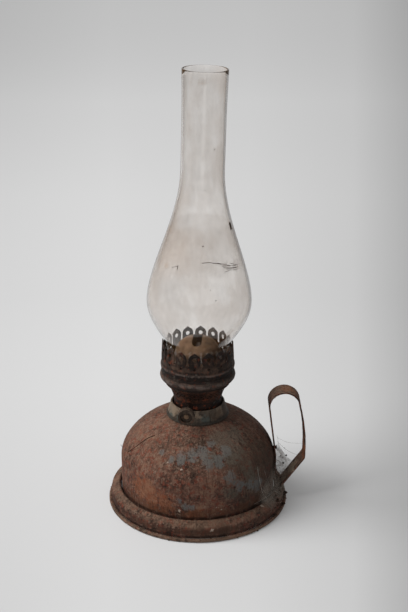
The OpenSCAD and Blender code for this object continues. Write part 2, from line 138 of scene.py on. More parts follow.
def studio():
    """A pale paper sweep, brightest left of the lamp, and a large softbox at the left. What the glass bends and
    mirrors from beside the lamp is dim, so that its outline shows."""
    world = bpy.data.worlds.new("pale_room")
    bpy.context.scene.world = world
    world.use_nodes = True
    tree = world.node_tree
    tree.nodes.clear()
    way = add(tree, "TexCoord", out="Generated")
    height = add(tree, "SeparateXYZ", {0: way}, "Z")
    overhead = add(tree, "MapRange", {0: height, 1: 0.1, 2: 0.9})
    seen = add(tree, "Mix", {0: overhead, 6: "#d2d2d2", 7: "#8c8c8c"}, **COLOURS)
    sideways = add(tree, "Math", {0: add(tree, "SeparateXYZ", {0: way}, "X")}, operation="ABSOLUTE")
    sideways = add(tree, "MapRange", {0: sideways, 1: 0.4, 2: 0.8}, **SOFT)
    seen = add(tree, "Mix", {0: sideways, 6: seen, 7: "#777777"}, **COLOURS)
    seen = add(tree, "Mix", {0: add(tree, "LightPath", out="Is Camera Ray"), 6: seen, 7: "#c4c4c4"}, **COLOURS)
    glow = add(tree, "Background", {"Color": "#ffffff", "Strength": 0.32})
    view = add(tree, "Background", {"Color": seen, "Strength": 1})
    mixed = add(tree, "MixShader", {0: seen_directly(tree), 1: glow, 2: view})
    add(tree, "OutputWorld", {"Surface": mixed})

    paper, tree = new_material("matt_background_paper")
    axes = add(tree, "SeparateXYZ", {0: add(tree, "TexCoord", out="Object")}).node.outputs
    depth = add(tree, "Math", {0: axes["Y"], 1: 0.964}, operation="ADD")
    depth = add(tree, "Math", {0: depth, 1: 0.4}, operation="MAXIMUM")
    aside = add(tree, "Math", {0: axes["X"], 1: depth}, operation="DIVIDE")
    across = add(tree, "MapRange", {0: aside, 1: -0.18, 2: 0.18})
    sides = [(0.0, "#f1f1f1"), (0.3, "#ffffff"), (0.62, "#ffffff"), (0.85, "#f7f7f7"), (1.0, "#d8d8d8")]
    edge = add(tree, "ValToRGB", {0: across}, stops=sides)
    beyond = add(tree, "Math", {0: aside}, operation="ABSOLUTE")
    beyond = add(tree, "MapRange", {0: beyond, 1: 0.3, 2: 0.8}, **SOFT)
    direct = add(tree, "LightPath", out="Is Camera Ray")
    beyond = add(tree, "Mix", {0: direct, 2: beyond, 3: 0.0})
    edge = add(tree, "Mix", {0: beyond, 6: edge, 7: "#8a8a8a"}, **COLOURS)
    behind = add(tree, "Math", {0: axes["Y"], 1: -1.0, 2: -0.6}, operation="MULTIPLY_ADD")
    beside = add(tree, "Math", {0: axes["X"]}, operation="ABSOLUTE")
    beside = add(tree, "Math", {0: beside, 1: 0.6}, operation="SUBTRACT")
    far = add(tree, "Math", {0: behind, 1: beside}, operation="MAXIMUM")
    far = add(tree, "Math", {0: far, 1: axes["Y"]}, operation="MAXIMUM")
    away = add(tree, "MapRange", {0: far, 1: -0.2, 2: 3.0})
    sweep = [(0.0, "#4e4e4e"), (0.12, "#656565"), (0.2, "#696969")]
    sweep += [(0.33, "#818181"), (0.55, "#959595"), (1.0, "#9a9a9a")]
    glowing = add(tree, "ValToRGB", {0: away}, stops=sweep)
    glowing = add(tree, "Mix", {0: 1.0, 6: glowing, 7: edge}, blend_type="MULTIPLY", **COLOURS)
    colour = add(tree, "Mix", {0: 1.0, 6: "#c6c6c6", 7: edge}, blend_type="MULTIPLY", **COLOURS)
    surface = add(tree, "BsdfDiffuse", {"Color": colour})
    glow = add(tree, "Emission", {"Color": glowing, "Strength": seen_directly(tree)})
    add(tree, "OutputMaterial", {"Surface": add(tree, "AddShader", {0: surface, 1: glow})})
    bpy.ops.object.select_all(action="DESELECT")
    bpy.ops.mesh.primitive_plane_add(size=14, location=(0, 0, 0))
    floor = bpy.context.object
    floor.name = "paper_floor"
    floor.data.materials.append(paper)

    soft_light("softbox_left", (-1.05, -0.16, 1.35), 1.15, 31, "#ffffff")
    bpy.context.scene.view_settings.view_transform = "Standard"


# Shapes


def sheet(path, thickness):
    """Closed outline of a sheet whose thickness lies on the left of its path."""
    inner = []
    for i, point in enumerate(path):
        run = Vector(path[min(i + 1, len(path) - 1)]) - Vector(path[max(i - 1, 0)])
        run.normalize()
        inner.append((point[0] - thickness * run.y, point[1] + thickness * run.x))
    return list(path) + inner[::-1]


def arc(centre, radius, start, end, steps):
    """Points on an arc between two angles in degrees."""
    angles = [math.radians(start + (end - start) * i / steps) for i in range(steps + 1)]
    return [(centre[0] + radius * math.cos(a), centre[1] + radius * math.sin(a)) for a in angles]


def finer(path, step):
    """The same path with a point at least every step."""
    points = [path[0]]
    for a, b in zip(path, path[1:]):
        parts = max(1, math.ceil(math.dist(a, b) / step))
        points += [tuple(p + (q - p) * i / parts for p, q in zip(a, b)) for i in range(1, parts + 1)]
    return points


def dome_point(angle):
    """Radius and height of the dome, from 90 degrees at the top of the wall to 0 at the neck."""
    a = math.radians(angle)
    radius = NECK_R + (WALL_R - NECK_R) * math.sin(a) ** 1.42
    return radius, SPRING_Z + (NECK_Z - SPRING_Z) * math.cos(a) ** 1.1


def on_dome(azimuth, height, proud=0.0):
    """A point on the font at an azimuth in degrees and a height, or proud of its surface."""
    lower, upper = 0.0, 90.0
    for _ in range(30):
        middle = (lower + upper) / 2
        lower, upper = (middle, upper) if dome_point(middle)[1] > height else (lower, middle)
    radius = (dome_point(lower)[0] if height > SPRING_Z else WALL_R) + proud
    a = math.radians(azimuth)
    return (radius * math.cos(a), radius * math.sin(a), height)


def settle(piece, smooth_angle=40):
    """Leaves edit mode with outward faces, the place in the mesh and soft shading."""
    bpy.ops.object.mode_set(mode="EDIT")
    bpy.ops.mesh.select_all(action="SELECT")
    bpy.ops.mesh.remove_doubles(threshold=1e-6)
    bpy.ops.mesh.normals_make_consistent(inside=False)
    bpy.ops.object.mode_set(mode="OBJECT")
    bpy.ops.object.transform_apply(location=True, rotation=True, scale=True)
    bpy.ops.object.shade_smooth_by_angle(angle=math.radians(smooth_angle))
    return piece


def turned(name, outline, steps=160, closed=True):
    """A ring pulled from point to point of an outline of (radius, height), as on a spinning lathe."""
    radius, height = outline[0]
    bpy.ops.object.select_all(action="DESELECT")
    bpy.ops.mesh.primitive_circle_add(vertices=steps, radius=radius * MM, location=(0, 0, height * MM))
    piece = bpy.context.object
    piece.name = name
    bpy.ops.object.mode_set(mode="EDIT")
    bpy.ops.mesh.select_mode(type="VERT")
    bpy.ops.mesh.select_all(action="SELECT")
    for next_radius, next_height in outline[1:] + (outline[:1] if closed else []):
        rise = (next_height - height) * MM
        bpy.ops.mesh.extrude_region_move(TRANSFORM_OT_translate={"value": (0, 0, rise)})
        share = next_radius / radius
        bpy.ops.transform.resize(value=(share, share, 1), center_override=(0, 0, next_height * MM))
        radius, height = next_radius, next_height
    return settle(piece)


def weather(piece, depth, grain, inward=True):
    """Pits and lumps of rust in the surface, depth deep and grain wide. Inward ones never widen the piece."""
    lumps = bpy.data.textures.new(piece.name + "_lumps", "CLOUDS")
    lumps.noise_scale = grain * MM
    lumps.noise_depth = 3
    relief = piece.modifiers.new("relief", "DISPLACE")
    relief.texture = lumps
    relief.texture_coords = "LOCAL"
    relief.strength = depth * MM
    relief.mid_level = 1 if inward else 0.5
    bpy.context.view_layer.objects.active = piece
    bpy.ops.object.modifier_apply(modifier=relief.name)


def dent(piece, place, push, reach):
    """Pushes the spot nearest to a place, with everything within reach following softly."""
    target = Vector(place) * MM
    bpy.ops.object.select_all(action="DESELECT")
    piece.select_set(True)
    bpy.context.view_layer.objects.active = piece
    nearest = min(piece.data.vertices, key=lambda v: (v.co - target).length_squared).index
    bpy.ops.object.mode_set(mode="EDIT")
    bpy.ops.mesh.select_mode(type="VERT")
    bpy.ops.mesh.select_all(action="DESELECT")
    bpy.ops.object.mode_set(mode="OBJECT")
    piece.data.vertices[nearest].select = True
    bpy.ops.object.mode_set(mode="EDIT")
    bpy.ops.transform.translate(
        value=Vector(push) * MM,
        use_proportional_edit=True,
        proportional_edit_falloff="SMOOTH",
        proportional_size=reach * MM,
    )
    bpy.ops.object.mode_set(mode="OBJECT")


def merged(name, pieces):
    """One object of several, with their places in its mesh."""
    bpy.ops.object.select_all(action="DESELECT")
    for piece in pieces:
        piece.select_set(True)
    bpy.context.view_layer.objects.active = pieces[0]
    bpy.ops.object.join()
    bpy.ops.object.transform_apply(location=True, rotation=True, scale=True)
    pieces[0].name = name
    return pieces[0]


def strand(points, thickness):
    """A thin thread or stroke through a list of points."""
    line = bpy.data.curves.new("strand", "CURVE")
    line.dimensions, line.bevel_depth, line.bevel_resolution = "3D", thickness / 2 * MM, 1
    spline = line.splines.new("NURBS")
    spline.points.add(len(points) - 1)
    for knot, point in zip(spline.points, points):
        knot.co = (*(Vector(point) * MM), 1)
    spline.use_endpoint_u, spline.order_u = True, 3
    piece = bpy.data.objects.new("strand", line)
    bpy.context.scene.collection.objects.link(piece)
    bpy.ops.object.select_all(action="DESELECT")
    piece.select_set(True)
    bpy.context.view_layer.objects.active = piece
    bpy.ops.object.convert(target="MESH")
    return bpy.context.object


def crumb(place, size, chance):
    """An uneven crumb of dirt about size wide, as deep as it is wide or flatter."""
    bpy.ops.object.select_all(action="DESELECT")
    bpy.ops.mesh.primitive_ico_sphere_add(subdivisions=2, radius=size / 2 * MM, location=Vector(place) * MM)
    piece = bpy.context.object
    piece.name = "crumb"
    piece.scale = (chance.uniform(0.8, 1.5), chance.uniform(0.7, 1.2), chance.uniform(0.5, 0.8))
    piece.rotation_euler = (0, 0, chance.uniform(0, math.pi))
    bpy.ops.object.transform_apply(location=True, rotation=True, scale=True)
    weather(piece, size * 0.6, size * 0.5, inward=False)
    return piece


def finish_piece(piece, material, body, slot_name, *nodes):
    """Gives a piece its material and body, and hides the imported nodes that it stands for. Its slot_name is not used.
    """
    piece.data.materials.clear()
    piece.data.materials.append(material)
    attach(piece, body)
    if nodes:
        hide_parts(*nodes)


# Finishes


def patches(tree, place, spots, ragged):
    """1 on and round a list of spots, each a place and a reach, with bays and islands where a noise frays them."""
    whole = 0.0
    for spot, reach in spots:
        gap = add(tree, "VectorMath", {0: place, 1: Vector(spot) * MM}, "Value", operation="DISTANCE")
        part = add(tree, "MapRange", {0: gap, 1: reach * MM, 2: 0.0})
        whole = add(tree, "Math", {0: whole, 1: part}, operation="MAXIMUM")
    frayed = add(tree, "Math", {0: ragged, 1: 2.2, 2: whole}, operation="MULTIPLY_ADD")
    return add(tree, "MapRange", {0: frayed, 1: 1.44, 2: 1.78}, **SOFT)


def mottled(tree, place, tone, shades):
    """A mottle of broad clouds, blotches and speckles that picks one of the shades, and its speckle and blotches."""
    clouds = add(tree, "TexNoise", {"Vector": place, "Scale": 1 / (24 * MM), "Detail": 3})
    blotches = add(tree, "TexNoise", {"Vector": place, "Scale": 1 / (5 * MM), "Detail": 8, "Roughness": 0.65})
    speckle = add(tree, "TexNoise", {"Vector": place, "Scale": 1 / (1.4 * MM), "Detail": 5, "Roughness": 0.68})
    shade = add(tree, "Math", {0: clouds, 1: 0.4, 2: tone}, operation="MULTIPLY_ADD")
    shade = add(tree, "Math", {0: blotches, 1: 0.6, 2: shade}, operation="MULTIPLY_ADD")
    shade = add(tree, "Math", {0: speckle, 1: 0.25, 2: shade}, operation="MULTIPLY_ADD")
    return add(tree, "ValToRGB", {0: shade}, stops=shades), speckle, blotches


def banded(tree, colour, place, noise, bands):
    """Bands round the lamp, each a height, a reach, a tint and an amount, made ragged and broken by a noise."""
    height = add(tree, "SeparateXYZ", {0: place}, "Z")
    height = add(tree, "Math", {0: noise, 1: 4 * MM, 2: height}, operation="MULTIPLY_ADD")
    broken = add(tree, "MapRange", {0: noise, 1: 0.4, 2: 0.56, 3: 0.2}, **SOFT)
    for middle, reach, tint, amount in bands:
        off = add(tree, "Math", {0: height, 1: (middle + 2) * MM}, operation="SUBTRACT")
        off = add(tree, "Math", {0: off}, operation="ABSOLUTE")
        band = add(tree, "MapRange", {0: off, 1: reach * MM, 2: 0.3 * reach * MM, 4: amount}, **SOFT)
        band = add(tree, "Math", {0: band, 1: broken}, operation="MULTIPLY")
        colour = add(tree, "Mix", {0: band, 6: colour, 7: tint}, **COLOURS)
    return colour


def lying_dust(tree, colour, speckle, amount, tint):
    """Dust on whatever faces up, broken up by the speckle."""
    sky = add(tree, "SeparateXYZ", {0: add(tree, "NewGeometry", out="Normal")}, "Z")
    facing = add(tree, "MapRange", {0: sky, 1: 0.1, 2: 1.0, 4: amount}, **SOFT)
    broken = add(tree, "MapRange", {0: speckle, 1: 0.3, 2: 0.65}, **SOFT)
    lies = add(tree, "Math", {0: facing, 1: broken}, operation="MULTIPLY")
    return add(tree, "Mix", {0: lies, 6: colour, 7: tint}, **COLOURS)


def rough_skin(tree, place, speckle, depth):
    """Normal of a pitted surface, with grains of 0.45 mm on the speckle."""
    grains = add(tree, "TexNoise", {"Vector": place, "Scale": 1 / (0.45 * MM), "Detail": 3})
    relief = add(tree, "Math", {0: grains, 1: 0.45, 2: speckle}, operation="MULTIPLY_ADD")
    return add(tree, "Bump", {"Height": relief, "Strength": 0.8, "Distance": depth * MM})


def rusted_tin(name, patched=(), flecks=(), dust=0.35, tone=0.0, dirt=(), bands=()):
    """Tinned sheet, once painted grey: rust has taken nearly all of it, and dust has caked on the rust. It is
    matt all over, mottled red-brown and beige, with dark runs down its walls, orange rust and scraps of paint."""
    material, tree = new_material(name)
    place = add(tree, "TexCoord", out="Object")
    axes = add(tree, "SeparateXYZ", {0: place}).node.outputs
    shades = [(0.5, "#2b1e19"), (0.57, "#4b362d"), (0.65, "#65473b"), (0.77, "#7c5e4c")]
    colour, speckle, blotches = mottled(tree, place, tone, shades)

    red = add(tree, "TexNoise", {"Vector": place, "Scale": 1 / (3.4 * MM), "Detail": 6, "Roughness": 0.66})
    red = add(tree, "MapRange", {0: red, 1: 0.52, 2: 0.6, 4: 0.66}, **SOFT)
    colour = add(tree, "Mix", {0: red, 6: colour, 7: "#6f3628"}, **COLOURS)
    caked = add(tree, "TexNoise", {"Vector": place, "Scale": 1 / (2.8 * MM), "Detail": 6, "Roughness": 0.66})
    caked = add(tree, "MapRange", {0: caked, 1: 0.52, 2: 0.62, 4: 0.5}, **SOFT)
    colour = add(tree, "Mix", {0: caked, 6: colour, 7: "#80695a"}, **COLOURS)

    ragged = add(tree, "TexNoise", {"Vector": place, "Scale": 1 / (5 * MM), "Detail": 8, "Roughness": 0.72})
    grained = add(tree, "MapRange", {0: speckle, 1: 0.3, 2: 0.52, 3: 0.3}, **SOFT)
    for tint, amount, spots in patched:
        cover = add(tree, "Math", {0: patches(tree, place, spots, ragged), 1: amount}, operation="MULTIPLY")
        cover = add(tree, "Math", {0: cover, 1: grained}, operation="MULTIPLY")
        colour = add(tree, "Mix", {0: cover, 6: colour, 7: tint}, **COLOURS)

    # Streaks that run down the wall, 1.3 mm wide and ten times as long, wrapped round with the join at the handle
    mirrored = add(tree, "Math", {0: axes["X"], 1: -1.0}, operation="MULTIPLY")
    angle = add(tree, "Math", {0: axes["Y"], 1: mirrored}, operation="ARCTAN2")
    wrapped = add(tree, "CombineXYZ", {"X": angle, "Y": axes["Z"]})
    drawn = add(tree, "Mapping", {"Vector": wrapped, "Scale": (WALL_R / 1.3, 1 / (13 * MM), 1)})
    streaks = add(tree, "TexNoise", {"Vector": drawn, "Scale": 1, "Detail": 4, "Roughness": 0.6})
    runs = add(tree, "MapRange", {0: streaks, 1: 0.52, 2: 0.7, 4: 0.6}, **SOFT)
    colour = add(tree, "Mix", {0: runs, 6: colour, 7: "#31231d"}, **COLOURS)
    pale_runs = add(tree, "MapRange", {0: streaks, 1: 0.44, 2: 0.3, 4: 0.3}, **SOFT)
    colour = add(tree, "Mix", {0: pale_runs, 6: colour, 7: "#776657"}, **COLOURS)

    pits = add(tree, "TexVoronoi", {"Vector": place, "Scale": 1 / (2.4 * MM)})
    pits = add(tree, "MapRange", {0: pits, 1: 0.24, 2: 0.08}, **SOFT)
    eaten = add(tree, "MapRange", {0: blotches, 1: 0.48, 2: 0.6, 4: 0.8}, **SOFT)
    pits = add(tree, "Math", {0: pits, 1: eaten}, operation="MULTIPLY")
    colour = add(tree, "Mix", {0: pits, 6: colour, 7: "#231813"}, **COLOURS)
    colour = banded(tree, colour, place, blotches, bands)
    colour = lying_dust(tree, colour, speckle, dust, "#83705f")
    if flecks:
        bare = patches(tree, place, flecks, speckle)
        colour = add(tree, "Mix", {0: bare, 6: colour, 7: "#a39385"}, **COLOURS)

    # Darkening in grooves and creases, partly packed dirt and partly painted shade, each given by two radii and two
    # heights that it fades between
    across = add(tree, "CombineXYZ", {"X": axes["X"], "Y": axes["Y"]})
    radius = add(tree, "VectorMath", {0: across}, "Value", operation="LENGTH")
    groove_dark_breakup = add(tree, "MapRange", {0: blotches, 1: 0.4, 2: 0.56, 3: 0.15, 4: 0.75}, **SOFT)
    for (free_r, full_r), (free_z, full_z) in dirt:
        near = add(tree, "MapRange", {0: radius, 1: free_r * MM, 2: full_r * MM}, **SOFT)
        level = add(tree, "MapRange", {0: axes["Z"], 1: free_z * MM, 2: full_z * MM}, **SOFT)
        groove_dirt_and_shade = add(tree, "Math", {0: near, 1: level}, operation="MULTIPLY")
        groove_dirt_and_shade = add(tree, "Math", {0: groove_dirt_and_shade, 1: groove_dark_breakup}, operation="MULTIPLY")
        colour = add(tree, "Mix", {0: groove_dirt_and_shade, 6: colour, 7: "#1a120e"}, **COLOURS)

    skin = rough_skin(tree, place, speckle, 0.5)
    sockets = {"Base Color": colour, "Roughness": 0.88, "Specular IOR Level": 0.22, "Normal": skin}
    add(tree, "OutputMaterial", {"Surface": add(tree, "BsdfPrincipled", sockets)})
    return material


def sooty_iron(name, shades, rust=0.5, dust=0.3, bands=()):
    """Thin stamped iron of a burner, browned by heat: dark, with flecks of orange-brown rust and grey dust on its
    ledges, a faint sheen where the rust is thin, and bands that paint highlights on beads and ridges and shade under
    them."""
    material, tree = new_material(name)
    place = add(tree, "TexCoord", out="Object")
    colour, speckle, blotches = mottled(tree, place, 0.0, shades)
    flecks = add(tree, "TexNoise", {"Vector": place, "Scale": 1 / (3.4 * MM), "Detail": 6, "Roughness": 0.68})
    flecks = add(tree, "MapRange", {0: flecks, 1: 0.54, 2: 0.66, 4: rust}, **SOFT)
    colour = add(tree, "Mix", {0: flecks, 6: colour, 7: "#763820"}, **COLOURS)
    ash = add(tree, "MapRange", {0: blotches, 1: 0.44, 2: 0.3, 4: 0.5}, **SOFT)
    colour = add(tree, "Mix", {0: ash, 6: colour, 7: "#62574f"}, **COLOURS)
    colour = banded(tree, colour, place, blotches, bands)
    colour = lying_dust(tree, colour, speckle, dust, "#76675b")
    skin = rough_skin(tree, place, speckle, 0.6)
    sockets = {"Base Color": colour, "Roughness": 0.7, "Specular IOR Level": 0.22, "Normal": skin}
    add(tree, "OutputMaterial", {"Surface": add(tree, "BsdfPrincipled", sockets)})
    return material


def tarnished_collar_metal():
    """Spun brass under tarnish and dirt: olive brown, grey-green low at the left where it was wiped, beige with
    dust at its upper left and brown where rust ran onto it, with painted shade nearly black along its foot."""
    material, tree = new_material("tarnished_brass_collar")
    place = add(tree, "TexCoord", out="Object")
    shades = [(0.5, "#1e1814"), (0.59, "#372d25"), (0.68, "#4f4439"), (0.8, "#675a4c")]
    colour, speckle, blotches = mottled(tree, place, 0.0, shades)
    ragged = add(tree, "TexNoise", {"Vector": place, "Scale": 1 / (3.5 * MM), "Detail": 7, "Roughness": 0.66})
    for spots, tint, amount in (
        ([((-21, -10, 75.6), 9), ((-14, -18, 75.2), 8), ((6, -22.5, 75.4), 7), ((-8, 21, 76), 20)], "#4c5550", 0.7),
        ([((-18, -12, 79.5), 9), ((-21, -3, 79), 9), ((-1, -21, 79.6), 6), ((16, -14, 79.8), 9)], "#857361", 0.75),
        ([((-4, -22, 78), 6), ((15, -17, 78), 9), ((22, -5, 78), 12), ((8, 21, 78), 14)], "#45301f", 0.6),
    ):
        cover = add(tree, "Math", {0: patches(tree, place, spots, ragged), 1: amount}, operation="MULTIPLY")
        colour = add(tree, "Mix", {0: cover, 6: colour, 7: tint}, **COLOURS)
    # Painted shade: nearly black along the collar's foot, where it meets the dome
    height = add(tree, "SeparateXYZ", {0: place}, "Z")
    height = add(tree, "Math", {0: blotches, 1: 2 * MM, 2: height}, operation="MULTIPLY_ADD")
    foot_painted_shade = add(tree, "MapRange", {0: height, 1: 76.2 * MM, 2: 74.8 * MM, 4: 0.8}, **SOFT)
    colour = add(tree, "Mix", {0: foot_painted_shade, 6: colour, 7: "#19130f"}, **COLOURS)
    colour = lying_dust(tree, colour, speckle, 0.3, "#7d6d5c")
    skin = rough_skin(tree, place, speckle, 0.4)
    sockets = {"Base Color": colour, "Roughness": 0.7, "Metallic": 0.1, "Normal": skin}
    add(tree, "OutputMaterial", {"Surface": add(tree, "BsdfPrincipled", sockets)})
    return material


def chimney_glass():
    """Clear soda glass, blown: it bends what is behind it, and a thin brown film of dust lies on it, thicker
    below a tide mark round the bulb's shoulder, with a few smudges; where the view grazes the wall the film thickens
    and is painted dark, as a painted dark outline of the glass."""
    material, tree = new_material("dusty_chimney_glass")
    place = add(tree, "TexCoord", out="Object")
    height = add(tree, "SeparateXYZ", {0: place}, "Z")
    clouds = add(tree, "TexNoise", {"Vector": place, "Scale": 1 / (30 * MM), "Detail": 4, "Roughness": 0.5})
    drawn = add(tree, "Mapping", {"Vector": place, "Scale": (1, 1, 0.35)})
    wisps = add(tree, "TexNoise", {"Vector": drawn, "Scale": 1 / (5 * MM), "Detail": 6, "Roughness": 0.66})
    film = add(tree, "Math", {0: wisps, 1: 0.8, 2: clouds}, operation="MULTIPLY_ADD")
    film = add(tree, "MapRange", {0: film, 1: 0.8, 2: 1.02, 3: 0.004, 4: 0.062})
    level = add(tree, "Math", {0: clouds, 1: 14 * MM, 2: height}, operation="MULTIPLY_ADD")
    under = add(tree, "MapRange", {0: level, 1: 232 * MM, 2: 226 * MM}, **SOFT)
    over = add(tree, "MapRange", {0: level, 1: 186 * MM, 2: 216 * MM}, **SOFT)
    tide = add(tree, "Math", {0: under, 1: over}, operation="MULTIPLY")
    film = add(tree, "Math", {0: tide, 1: 0.07, 2: film}, operation="MULTIPLY_ADD")
    spots = [((-22, -20, 196), 4), ((3.5, -16, 324), 5), ((27, -16, 196), 8), ((20, -24, 197), 6)]
    fingered = add(tree, "TexNoise", {"Vector": drawn, "Scale": 1 / (1.6 * MM), "Detail": 5, "Roughness": 0.7})
    smudges = patches(tree, place, spots, fingered)
    film = add(tree, "Math", {0: smudges, 1: 0.1, 2: film}, operation="MULTIPLY_ADD")
    slant = add(tree, "LayerWeight", {"Blend": 0.3}, "Facing")
    grazing = add(tree, "Math", {0: slant, 1: 4.0}, operation="POWER")
    film = add(tree, "Math", {0: grazing, 1: 0.9, 2: film}, operation="MULTIPLY_ADD")
    # Painted shade: the film's tint turns dark brown where the view grazes the wall, drawing the glass's outline
    edge = add(tree, "MapRange", {0: grazing, 1: 0.02, 2: 0.2})
    tint = add(tree, "Mix", {0: edge, 6: "#a67c4c", 7: "#2f2822"}, **COLOURS)
    dust = add(tree, "BsdfDiffuse", {"Color": tint})
    clear = {"Base Color": "#fffdfb", "Roughness": 0.0, "IOR": 1.5, "Transmission Weight": 1.0}
    glass = add(tree, "BsdfPrincipled", clear)
    lamp_light = add(tree, "BsdfTransparent", {"Color": "#f4f4f4"})
    shadow = add(tree, "LightPath", out="Is Shadow Ray")
    glass = add(tree, "MixShader", {0: shadow, 1: glass, 2: lamp_light})
    dusty = add(tree, "MixShader", {0: film, 1: glass, 2: dust})
    add(tree, "OutputMaterial", {"Surface": dusty})
    return material


def dry_soot(name, shades):
    """Dried soot and dead flies' dirt in strokes and specks: matt, browner where it lies thin on the glass."""
    material, tree = new_material(name)
    place = add(tree, "TexCoord", out="Object")
    grain = add(tree, "TexNoise", {"Vector": place, "Scale": 1 / (0.6 * MM), "Detail": 3})
    colour = add(tree, "ValToRGB", {0: grain}, stops=shades)
    sockets = {"Base Color": colour, "Roughness": 0.95, "Specular IOR Level": 0.1}
    add(tree, "OutputMaterial", {"Surface": add(tree, "BsdfPrincipled", sockets)})
    return material


def packed_dirt():
    """Crumbs of dry dirt and rust scale: matt, brown to nearly black, each with its own grain."""
    material, tree = new_material("packed_dirt")
    place = add(tree, "TexCoord", out="Object")
    grain = add(tree, "TexNoise", {"Vector": place, "Scale": 1 / (0.9 * MM), "Detail": 5, "Roughness": 0.7})
    shades = [(0.36, "#1f1612"), (0.52, "#3f2f27"), (0.68, "#6f5a4c")]
    colour = add(tree, "ValToRGB", {0: grain}, stops=shades)
    skin = add(tree, "Bump", {"Height": grain, "Strength": 0.8, "Distance": 0.4 * MM})
    sockets = {"Base Color": colour, "Roughness": 0.95, "Specular IOR Level": 0.1, "Normal": skin}
    add(tree, "OutputMaterial", {"Surface": add(tree, "BsdfPrincipled", sockets)})
    return material


def dusty_web(name, tint, density, fade):
    """Old cobweb clogged with dust: a torn grey film that lets most light through, thick in the middle of its
    spots and gone at their reach."""
    material, tree = new_material(name)
    place = add(tree, "TexCoord", out="Object")
    fibres = add(tree, "TexNoise", {
        "Vector": place, "Scale": 1 / (4 * MM), "Detail": 5, "Roughness": 0.62, "Distortion": 0.8,
    })
    torn = add(tree, "MapRange", {0: fibres, 1: 0.34, 2: 0.66, 3: 0.55 * density, 4: density}, **SOFT)
    whole = 0.0
    for spot, reach in fade:
        gap = add(tree, "VectorMath", {0: place, 1: Vector(spot) * MM}, "Value", operation="DISTANCE")
        part = add(tree, "MapRange", {0: gap, 1: reach * MM, 2: 0.25 * reach * MM}, **SOFT)
        whole = add(tree, "Math", {0: whole, 1: part}, operation="MAXIMUM")
    torn = add(tree, "Math", {0: torn, 1: whole}, operation="MULTIPLY")
    dust = add(tree, "BsdfDiffuse", {"Color": tint})
    air = add(tree, "BsdfTransparent")
    add(tree, "OutputMaterial", {"Surface": add(tree, "MixShader", {0: torn, 1: air, 2: dust})})
    return material


def cobweb_thread():
    """A cobweb thread with dust on it: pale grey, thicker to the eye where a bead of dust hangs."""
    material, tree = new_material("dusty_cobweb_thread")
    place = add(tree, "TexCoord", out="Object")
    beads = add(tree, "TexNoise", {"Vector": place, "Scale": 1 / (1.5 * MM), "Detail": 3})
    colour = add(tree, "ValToRGB", {0: beads}, stops=[(0.4, "#6f675f"), (0.62, "#a8a199")])
    sockets = {"Base Color": colour, "Roughness": 0.9, "Specular IOR Level": 0.2}
    add(tree, "OutputMaterial", {"Surface": add(tree, "BsdfPrincipled", sockets)})
    return material


def wick_cotton():
    """Flat woven cotton tape, soaked and yellowed: ribs about 1.1 mm apart with cross threads between them,
    charred and then greyed by ash at its burning edge."""
    material, tree = new_material("woven_cotton_wick")
    place = add(tree, "TexCoord", out="Object")
    along = add(tree, "Mapping", {"Vector": place, "Rotation": (0, 0, math.radians(96))})
    sizes = {"Vector": along, "Scale": 1 / (1.1 * MM) / 3.2, "Distortion": 0.4}
    ribs = add(tree, "TexWave", sizes, "Fac", bands_direction="X")
    sizes = {"Vector": along, "Scale": 1 / (0.9 * MM) / 3.2, "Distortion": 0.6}
    picks = add(tree, "TexWave", sizes, "Fac", bands_direction="Z")
    weave = add(tree, "Math", {0: ribs, 1: picks}, operation="MULTIPLY")
    stain = add(tree, "TexNoise", {"Vector": place, "Scale": 1 / (6 * MM), "Detail": 5})
    colour = add(tree, "ValToRGB", {0: stain}, stops=[(0.35, "#a18a66"), (0.65, "#c4b595")])
    between = add(tree, "MapRange", {0: weave, 1: 0.35, 2: 0.05}, **SOFT)
    colour = add(tree, "Mix", {0: between, 6: colour, 7: "#7d6849"}, **COLOURS)
    height = add(tree, "SeparateXYZ", {0: place}, "Z")
    charred = add(tree, "MapRange", {0: height, 1: 120 * MM, 2: 123 * MM}, **SOFT)
    colour = add(tree, "Mix", {0: charred, 6: colour, 7: "#4a423b"}, **COLOURS)
    ash = add(tree, "MapRange", {0: height, 1: 124.6 * MM, 2: 126 * MM}, **SOFT)
    colour = add(tree, "Mix", {0: ash, 6: colour, 7: "#8b837c"}, **COLOURS)
    skin = add(tree, "Bump", {"Height": weave, "Strength": 0.8, "Distance": 0.3 * MM})
    sockets = {"Base Color": colour, "Roughness": 0.95, "Specular IOR Level": 0.1, "Normal": skin}
    add(tree, "OutputMaterial", {"Surface": add(tree, "BsdfPrincipled", sockets)})
    return material


# Pieces


def font(tin):
    """The font's shell, drawn from one sheet: upright wall, full shoulder, dome flattening to the neck."""
    dome = [dome_point(90 - 90 * i / 44) for i in range(45)]
    wall = finer([(WALL_R, 8), (WALL_R, SPRING_Z)], 1.6)
    piece = turned("font_dome", sheet(wall[:-1] + dome, 0.6), 220)
    dent(piece, on_dome(-152, 55), (1.0, 0.5, -1.0), 9)
    dent(piece, on_dome(-68, 52), (-0.4, 0.8, -0.5), 14)
    dent(piece, on_dome(80, 40), (0, -1.0, 0), 16)
    weather(piece, 0.35, 9)
    weather(piece, 0.22, 2.2)
    finish_piece(piece, tin, "lamp_base", "rusted_tin", "font_shell")


